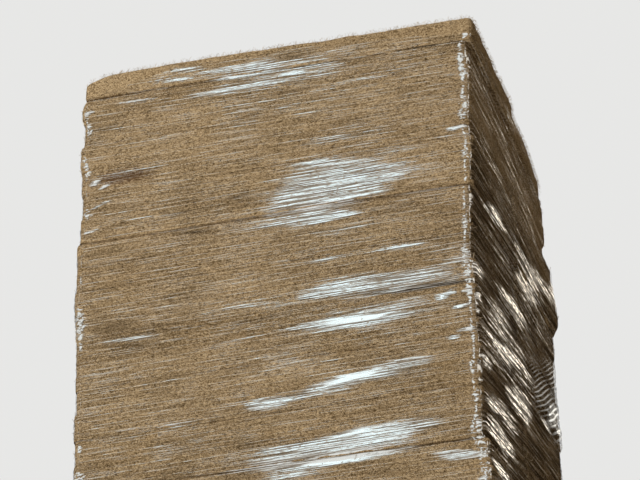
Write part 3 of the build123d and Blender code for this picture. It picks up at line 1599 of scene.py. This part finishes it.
    def _shade(
        self, ring: Ring, heights: np.ndarray, x: np.ndarray, y: np.ndarray
    ) -> np.ndarray:
        """How much painted shade the film lays over the fibre: faint everywhere, more along creases,
        most on the ends.

        Args:
            ring: the points of one round.
            heights: one row for each round of the film.
            x: the points' X.
            y: the points' Y.

        Returns:
            0 for no painted shade, 1 for a full one and more in the deepest creases, shaped as heights.
        """
        depth = CAD_BOX[1].z - heights
        inner = smooth_step(*self.end_shade_rim, np.abs(y))
        at_top, added = self.end_shade
        ends = ring.on(Side.RIGHT, Side.LEFT) * inner
        ends = ends * (at_top + added * smooth_step(*self.end_shade_depths, depth))
        uneven = RandomField(32).at(x * 6 + y * 6, heights / 0.07)
        shade = np.maximum(ends, self.faint_shade * (1 + 0.6 * uneven))
        # Painted shade along the creases in the film.
        for fold in CREASE_SHADES:
            here = ring.on(fold.side)
            cover = fold.cover(x[:, here], depth[:, here])
            shade[:, here] = np.maximum(shade[:, here], cover * (0.9 + 0.25 * uneven[:, here]))
        return np.minimum(shade, self.most_shade)

    def _pleat(self, ring: Ring, heights: np.ndarray) -> np.ndarray:
        """How far each point is from the fine pleats that run down the stack's corners.

        Args:
            ring: the points of one round.
            heights: one row for each round of the film.

        Returns:
            0 in the middle of the pleats and 1 or -1 at their rims, shaped as heights.
        """
        low, high = CAD_BOX
        lengths = np.array([high.x - low.x, high.y - low.y] * 2)[ring.side]
        from_end = np.minimum(ring.fraction, 1 - ring.fraction) * lengths
        long_side = ring.on(Side.FRONT, Side.BACK)
        uneven = RandomField(26).at(ring.side * 7.0, heights / 0.045)
        at_right = np.where(ring.on(Side.FRONT), ring.fraction > 0.5, ring.fraction < 0.5)
        even_reach = self.corner_shine * (1.0 + 2.2 * np.clip(uneven, -0.2, 1.0))
        patchy_reach = self.corner_shine * np.clip(5.0 * uneven - 0.4, 0.05, 4.0)
        reach = np.where(long_side & at_right, even_reach, patchy_reach)
        inset = np.where(long_side, self.shine_from_corner, 0.0)
        return (from_end - inset) / reach

    def _unseen(self) -> list[Patch]:
        """Patches for the sides and the height that no picture shows, of the same kinds.

        Returns:
            The patches, the same in every run.
        """
        chance = np.random.default_rng(27)
        unseen = []
        for side in Side:
            for _ in range(self.unseen_patches):
                depth = chance.uniform(*self.unseen_depths)
                if side in (Side.FRONT, Side.RIGHT) and depth < self.shown_depth:
                    continue
                unseen.append(Patch(
                    side,
                    along=chance.uniform(-0.45, 0.45),
                    depth=depth,
                    reach=chance.uniform(0.08, 0.26),
                    height=chance.uniform(0.008, 0.04),
                    slope=chance.uniform(-0.12, 0.12),
                    strength=chance.uniform(0.5, 1.0),
                ))
        return unseen

    def _map(self, piece: bpy.types.Object, ring: Ring, heights: np.ndarray) -> None:
        """Gives the film a map in metres: round the stack, and across the way it was wound.

        Args:
            piece: the film.
            ring: the points of one round.
            heights: one row for each round of the film.
        """
        low, high = CAD_BOX
        lengths = [high.x - low.x, high.y - low.y] * 2
        rises = [self.rise_front, self.rise_right, self.rise_back]
        climbed = sum(rise * length for rise, length in zip(rises, lengths))
        rises.append(-climbed / lengths[3])
        steps = np.diff(ring.distance, prepend=0.0)
        steeper = smooth_step(*self.steeper_depths, high.z - heights)
        across = heights - np.cumsum(steps * np.array(rises)[ring.side]) * steeper
        pace = np.where(ring.on(Side.RIGHT, Side.LEFT), self.end_pace, 1.0)
        along = np.cumsum(steps * pace)
        pairs = np.stack([np.broadcast_to(along, heights.shape), across], axis=-1)
        pairs = pairs.reshape(-1, 2)
        winding = piece.data.uv_layers.new(name="winding")
        corners = np.zeros(len(piece.data.loops), np.int64)
        piece.data.loops.foreach_get("vertex_index", corners)
        placed = pairs[corners].reshape(-1, 4, 2)
        metre = 1.0
        closing = placed[..., 0].max(axis=1) - placed[..., 0].min(axis=1) > metre
        at_start = placed[closing, :, 0] < metre
        placed[closing, :, 0] += at_start * (2 * lengths[0] + 2 * lengths[1] * self.end_pace)
        winding.data.foreach_set("uv", placed.astype(np.float32).ravel())


@dataclass(frozen=True)
class FibreKind:
    """The sizes of one kind of loose fibre: metres, radians, and fibres to a square metre."""

    density: float
    length: float
    radius: float
    least_tilt: float
    most_tilt: float
    curl: float
    points: int
    seed: int


class FibreTree:
    """A Geometry Nodes tree that plants curved fibres on a surface, and turns them to a mesh."""

    SOCKETS = {float: "NodeSocketFloat", int: "NodeSocketInt"}
    BEND_POINTS = 8
    BEND_HEIGHT = 0.5
    TIP_LEAN = 0.25
    FIBRE_SIDES = 3
    LEAST_SIZE = 0.35

    def __init__(self) -> None:
        """Builds the tree, with a fibre's sizes as its inputs, each under its own name."""
        self.tree = bpy.data.node_groups.new("fibres", "GeometryNodeTree")
        face = self.tree.interface
        face.new_socket("ground", in_out="INPUT", socket_type="NodeSocketGeometry")
        for size in fields(FibreKind):
            face.new_socket(size.name, in_out="INPUT", socket_type=self.SOCKETS[size.type])
        face.new_socket("finish", in_out="INPUT", socket_type="NodeSocketMaterial")
        face.new_socket("fibres", in_out="OUTPUT", socket_type="NodeSocketGeometry")
        self._wire()

    def _add(self, kind: str, settings: dict, links: dict) -> bpy.types.Node:
        """Adds a node.

        Args:
            kind: its type.
            settings: its own settings.
            links: for each input, by name or number, a socket to link or a value to set.

        Returns:
            The node.
        """
        made = self.tree.nodes.new(kind)
        for key, setting in settings.items():
            setattr(made, key, setting)
        for key, given in links.items():
            if isinstance(given, bpy.types.NodeSocket):
                self.tree.links.new(given, made.inputs[key])
            else:
                made.inputs[key].default_value = given
        return made

    def _maths(
        self, operation: str, first: bpy.types.NodeSocket, second: bpy.types.NodeSocket
    ) -> bpy.types.NodeSocket:
        """The result of a Math node on two sockets."""
        return self._add("ShaderNodeMath", {"operation": operation}, {0: first, 1: second}).outputs[0]

    def _fibre(self, given: bpy.types.NodeOutputs) -> bpy.types.NodeSocket:
        """Wires one bent fibre, a unit long.

        Args:
            given: the tree's inputs.

        Returns:
            The socket of its mesh.
        """
        bend = self._add("ShaderNodeCombineXYZ", {}, {"X": given["curl"], "Z": self.BEND_HEIGHT})
        line = self._add(
            "GeometryNodeCurveQuadraticBezier", {},
            {
                "Resolution": self.BEND_POINTS,
                "Start": (0.0, 0.0, 0.0),
                "Middle": bend.outputs[0],
                "End": (0.0, self.TIP_LEAN, 1.0),
            },
        )
        bent = self._add(
            "GeometryNodeResampleCurve", {"mode": "COUNT"},
            {"Curve": line.outputs[0], "Count": given["points"]},
        )
        thin = self._maths("DIVIDE", given["radius"], given["length"])
        section = self._add(
            "GeometryNodeCurvePrimitiveCircle", {}, {"Resolution": self.FIBRE_SIDES, "Radius": thin}
        )
        fibre = self._add(
            "GeometryNodeCurveToMesh", {},
            {"Curve": bent.outputs[0], "Profile Curve": section.outputs[0], "Fill Caps": True},
        )
        return fibre.outputs[0]

    def _wire(self) -> None:
        """Plants points by density, puts a bent fibre on each, and makes them real."""
        given = self.tree.nodes.new("NodeGroupInput").outputs
        weight = self._add("GeometryNodeInputNamedAttribute", {"data_type": "FLOAT"}, {"Name": "fuzz"})
        density = self._maths("MULTIPLY", given["density"], weight.outputs["Attribute"])
        planted = self._add(
            "GeometryNodeDistributePointsOnFaces", {},
            {"Mesh": given["ground"], "Density": density, "Seed": given["seed"]},
        )
        tilt = self._random(given["least_tilt"], given["most_tilt"], given["seed"])
        spin = self._random(-math.pi, math.pi, given["seed"])
        lean = self._add("ShaderNodeCombineXYZ", {}, {"X": tilt, "Z": spin})
        turned = self._add(
            "FunctionNodeRotateEuler", {"rotation_type": "EULER", "space": "LOCAL"},
            {0: planted.outputs["Rotation"], 1: lean.outputs[0]},
        )
        size = self._random(self.LEAST_SIZE, 1.0, given["seed"])
        placed = self._add(
            "GeometryNodeInstanceOnPoints", {},
            {
                "Points": planted.outputs["Points"],
                "Instance": self._fibre(given),
                "Rotation": turned.outputs[0],
                "Scale": self._maths("MULTIPLY", size, given["length"]),
            },
        )
        real = self._add("GeometryNodeRealizeInstances", {}, {0: placed.outputs[0]})
        dressed = self._add(
            "GeometryNodeSetMaterial", {}, {"Geometry": real.outputs[0], "Material": given["finish"]}
        )
        result = self.tree.nodes.new("NodeGroupOutput")
        self.tree.links.new(dressed.outputs[0], result.inputs[0])

    def _random(self, low: object, high: object, seed: bpy.types.NodeSocket) -> bpy.types.NodeSocket:
        """A random number for each fibre.

        Args:
            low: the least number, or a socket that gives it.
            high: the largest, likewise.
            seed: where the numbers come from.

        Returns:
            The socket of the numbers.
        """
        made = self.tree.nodes.new("FunctionNodeRandomValue")
        made.data_type = "FLOAT"
        limits = [socket for socket in made.inputs if socket.enabled]
        for socket, given in zip(limits, (low, high)):
            if isinstance(given, bpy.types.NodeSocket):
                self.tree.links.new(given, socket)
            else:
                socket.default_value = given
        self.tree.links.new(seed, made.inputs["Seed"])
        return next(socket for socket in made.outputs if socket.enabled)

    def plant(
        self, name: str, ground: bpy.types.Object, finish: bpy.types.Material, kind: FibreKind
    ) -> bpy.types.Object:
        """Plants fibres on a surface and keeps them as a plain mesh.

        Args:
            name: the new piece's name.
            ground: the surface, with its "fuzz" values.
            finish: the fibres' material.
            kind: the fibres' sizes.

        Returns:
            The fibres, as a piece of their own.
        """
        modifier = ground.modifiers.new("fibres", "NODES")
        modifier.node_group = self.tree
        given = {**asdict(kind), "finish": finish}
        for item in self.tree.interface.items_tree:
            if item.in_out == "INPUT" and item.name in given:
                modifier[item.identifier] = given[item.name]
        ground.data.update()
        graph = bpy.context.evaluated_depsgraph_get()
        mesh = bpy.data.meshes.new_from_object(ground.evaluated_get(graph))
        ground.modifiers.remove(modifier)
        mesh.name = name
        piece = bpy.data.objects.new(name, mesh)
        bpy.context.scene.collection.objects.link(piece)
        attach(piece, BODY)
        return piece


@dataclass
class Fuzz:
    """Loose fibres: a fringe along the bare top, and shives pressed on every face."""

    finish: LooseFibre = field(default_factory=LooseFibre)
    fringe: FibreKind = FibreKind(
        density=30000.0, length=0.017, radius=0.00034,
        least_tilt=0.1, most_tilt=1.45, curl=0.5, points=4, seed=31,
    )
    shives: FibreKind = FibreKind(
        density=1350.0, length=0.019, radius=0.00075,
        least_tilt=1.42, most_tilt=1.60, curl=0.12, points=2, seed=32,
    )
    fringe_depths: Pair = (0.04, 0.004)
    fringe_insets: Pair = (0.10, 0.03)
    skin: float = 0.08
    top_skin: float = 0.02
    upright_least: float = 0.8
    shives_above: Pair = (0.02, 0.05)

    def build(self, batts: list[bpy.types.Object]) -> list[bpy.types.Object]:
        """Plants the fibres.

        Args:
            batts: the pieces that they grow from, from the top down.

        Returns:
            The new pieces.
        """
        tree = FibreTree()
        material = self.finish.material()
        top_edges = self._ground("fringe_ground", batts[:1], self._fringe_weight)
        faces = self._ground("shive_ground", batts, self._outer_weight)
        pieces = [
            tree.plant("fibre_fringe", top_edges, material, self.fringe),
            tree.plant("fibre_shives", faces, material, self.shives),
        ]
        for ground in (top_edges, faces):
            bpy.data.objects.remove(ground)
        return pieces

    def _ground(
        self,
        name: str,
        batts: list[bpy.types.Object],
        weigh: Callable[[np.ndarray, np.ndarray], np.ndarray],
    ) -> bpy.types.Object:
        """Joins copies of some batts' outer surfaces, with a weight for the fibres at each point.

        The single large faces that lie between the layers are left out.

        Args:
            name: the new object's name.
            batts: the pieces that are copied.
            weigh: gives the weights from the points and their outward directions.

        Returns:
            The joined surface, which shows nowhere itself.
        """
        points, normals, faces, offset = [], [], [], 0
        for batt in batts:
            count = len(batt.data.vertices)
            place, normal = np.zeros(count * 3), np.zeros(count * 3)
            batt.data.vertices.foreach_get("co", place)
            batt.data.vertex_normals.foreach_get("vector", normal)
            points.append(place.reshape(-1, 3))
            normals.append(normal.reshape(-1, 3))
            faces += [
                tuple(offset + v for v in face.vertices)
                for face in batt.data.polygons
                if len(face.vertices) == 4
            ]
            offset += count
        ground = add_mesh(name, np.vstack(points), faces, batts[0].data.materials[0])
        add_values(ground, "fuzz", weigh(np.vstack(points), np.vstack(normals)))
        return ground

    def _fringe_weight(self, points: np.ndarray, normals: np.ndarray) -> np.ndarray:
        """Weighs the fringe: it fades out down the bare band and over the top.

        Args:
            points: one row for each point.
            normals: their outward directions, which make no difference here.

        Returns:
            1 along the upper edges of the stack, down to 0.
        """
        low, high = CAD_BOX
        edge = np.minimum.reduce([
            np.abs(points[:, 0] - low.x), np.abs(points[:, 0] - high.x),
            np.abs(points[:, 1] - low.y), np.abs(points[:, 1] - high.y),
        ])
        near_top = smooth_step(*self.fringe_depths, high.z - points[:, 2])
        near_edge = smooth_step(*self.fringe_insets, edge)
        return near_top * near_edge

    def _outer_weight(self, points: np.ndarray, normals: np.ndarray) -> np.ndarray:
        """Weighs the shives, which lie on the faces that point out of the stack.

        Args:
            points: one row for each point.
            normals: their outward directions.

        Returns:
            1 on those faces and 0 on the ones between the batts.
        """
        high = CAD_BOX[1]
        outer = np.abs(normals[:, 0]) * (np.abs(points[:, 0]) > high.x - self.skin)
        outer += np.abs(normals[:, 1]) * (np.abs(points[:, 1]) > high.y - self.skin)
        upper = (normals[:, 2] > self.upright_least) * (points[:, 2] > high.z - self.top_skin)
        above = smooth_step(*self.shives_above, points[:, 2])
        return np.clip(outer + upper, 0.0, 1.0) * above


# Studio


@dataclass(frozen=True)
class SoftBox:
    """An area lamp that faces a point of the stack."""

    name: str
    place: Triple
    aim: Triple
    width: float
    height: float
    radiance: float
    colour: Triple
    mirrored: bool = True

    def build(self) -> None:
        """Hangs the lamp. Its power follows from its radiance and its area."""
        lamp = bpy.data.lights.new(self.name, "AREA")
        lamp.shape = "RECTANGLE"
        lamp.size, lamp.size_y = self.width, self.height
        lamp.energy = self.radiance * math.pi * self.width * self.height
        lamp.color = self.colour
        holder = bpy.data.objects.new(self.name, lamp)
        bpy.context.scene.collection.objects.link(holder)
        holder.location = self.place
        away = Vector(self.place) - Vector(self.aim)
        holder.rotation_mode = "QUATERNION"
        holder.rotation_quaternion = away.to_track_quat("Z", "Y")
        holder.visible_camera = False
        holder.visible_glossy = self.mirrored


@dataclass(frozen=True)
class Studio:
    """Floor, world, lamps and the camera at the photograph's place."""

    floor_radius: float = 2.7
    floor_thickness: float = 0.03
    floor_sides: int = 96
    backdrop: Triple = (0.80, 0.80, 0.79)
    ambient: float = 0.17
    ambient_tint: Triple = (1.0, 0.82, 0.60)
    focal_length_pixels: float = 2725.6
    picture_width_pixels: float = 640.0
    sensor_width_mm: float = 36.0
    camera_from_top: Triple = (2.028, -7.441, -4.286)
    pitch: float = 0.4691
    yaw: float = 0.2682
    roll: float = 0.0198

    def build(self) -> None:
        """Sets up all of it."""
        self._floor()
        self._world()
        self._lamps()
        self._camera()
        bpy.context.scene.view_settings.view_transform = "Standard"

    def _floor(self) -> None:
        """A round floor under the stack, small enough to stay under the camera's view."""
        count = self.floor_sides
        angles = np.linspace(0, 2 * math.pi, count, endpoint=False)
        ring = np.column_stack([np.cos(angles), np.sin(angles)]) * self.floor_radius
        upper = np.column_stack([ring, np.zeros(count)])
        lower = np.column_stack([ring, np.full(count, -self.floor_thickness)])
        faces = grid_faces(2, count, True)
        faces += [tuple(range(count, 2 * count)), tuple(range(count - 1, -1, -1))]
        floor = add_mesh("floor", np.vstack([lower, upper]), faces, PaleFloor().material())
        for face in floor.data.polygons:
            face.use_smooth = False

    def _world(self) -> None:
        """A pale backdrop for what is seen or mirrored, and a softer light for the rest."""
        world = bpy.data.worlds.new("studio")
        bpy.context.scene.world = world
        world.use_nodes = True
        tree = world.node_tree
        tree.nodes.clear()
        path = tree.nodes.new("ShaderNodeLightPath")
        seen = path.outputs["Is Camera Ray"]
        for name in ("Is Glossy Ray", "Is Transmission Ray"):
            either = tree.nodes.new("ShaderNodeMath")
            either.operation = "MAXIMUM"
            tree.links.new(seen, either.inputs[0])
            tree.links.new(path.outputs[name], either.inputs[1])
            seen = either.outputs[0]
        shown = tree.nodes.new("ShaderNodeBackground")
        shown.inputs["Color"].default_value = (*self.backdrop, 1.0)
        light = tree.nodes.new("ShaderNodeBackground")
        light.inputs["Color"].default_value = (*self.ambient_tint, 1.0)
        light.inputs["Strength"].default_value = self.ambient
        mixed = tree.nodes.new("ShaderNodeMixShader")
        result = tree.nodes.new("ShaderNodeOutputWorld")
        tree.links.new(seen, mixed.inputs[0])
        tree.links.new(light.outputs[0], mixed.inputs[1])
        tree.links.new(shown.outputs[0], mixed.inputs[2])
        tree.links.new(mixed.outputs[0], result.inputs[0])

    def _lamps(self) -> None:
        """One broad key light, and tall soft boxes where the film mirrors them."""
        middle = (0.0, 0.0, 1.5)
        boxes = (
            SoftBox("window", (-1.1, -5.7, 4.3), (0.0, -0.6, 1.6), 1.6, 3.2, 0.55, (0.50, 0.84, 1.0)),
            SoftBox("key", (-2.6, -7.0, 4.6), middle, 3.4, 3.4, 9.4, (1.0, 0.96, 0.90), False),
            SoftBox("fill", (0.9, -7.5, 1.5), middle, 2.5, 2.5, 8.0, (1.0, 0.96, 0.90), False),
            SoftBox("rim", (2.0, 4.7, 4.2), (0.6, 0.0, 1.6), 1.5, 2.8, 1.5, (1.0, 0.88, 0.70)),
            SoftBox("rear", (-2.8, 4.6, 2.6), middle, 2.6, 2.8, 6.0, (1.0, 0.97, 0.93)),
            SoftBox("overhead", (0.0, 0.0, 5.6), middle, 1.8, 1.8, 4.0, (1.0, 0.98, 0.95)),
        )
        for box in boxes:
            box.build()

    def _camera(self) -> None:
        """The camera that was fitted to the photograph's edges, low and looking up."""
        lens = bpy.data.cameras.new("camera")
        lens.sensor_width = self.sensor_width_mm
        lens.lens = self.focal_length_pixels * self.sensor_width_mm / self.picture_width_pixels
        lens.clip_end = 100.0
        holder = bpy.data.objects.new("camera", lens)
        bpy.context.scene.collection.objects.link(holder)
        sine, cosine = math.sin(self.yaw), math.cos(self.yaw)
        level = Vector((cosine, sine, 0.0))
        up = Vector((sine * math.sin(self.pitch), -cosine * math.sin(self.pitch), math.cos(self.pitch)))
        right = level * math.cos(self.roll) - up * math.sin(self.roll)
        above = level * math.sin(self.roll) + up * math.cos(self.roll)
        behind = right.cross(above)
        turn = Matrix((right, above, behind)).transposed()
        place = Vector(self.camera_from_top) + Vector((0.0, 0.0, CAD_BOX[1].z))
        holder.matrix_world = Matrix.Translation(place) @ turn.to_4x4()
        bpy.context.scene.camera = holder


def main() -> None:
    """Builds the stack's looks and the studio round it."""
    logging.basicConfig(level=logging.INFO, format="%(message)s")
    stack, sag = Stack(), Sag()
    batts = BattStack(stack, sag).build()
    film = StretchFilm(stack, sag).build()
    fibres = Fuzz().build(batts)
    for piece in (*batts, film, *fibres):
        log.info("%s: %d faces", piece.name, len(piece.data.polygons))
    Studio().build()


if __name__ == "__main__":
    main()
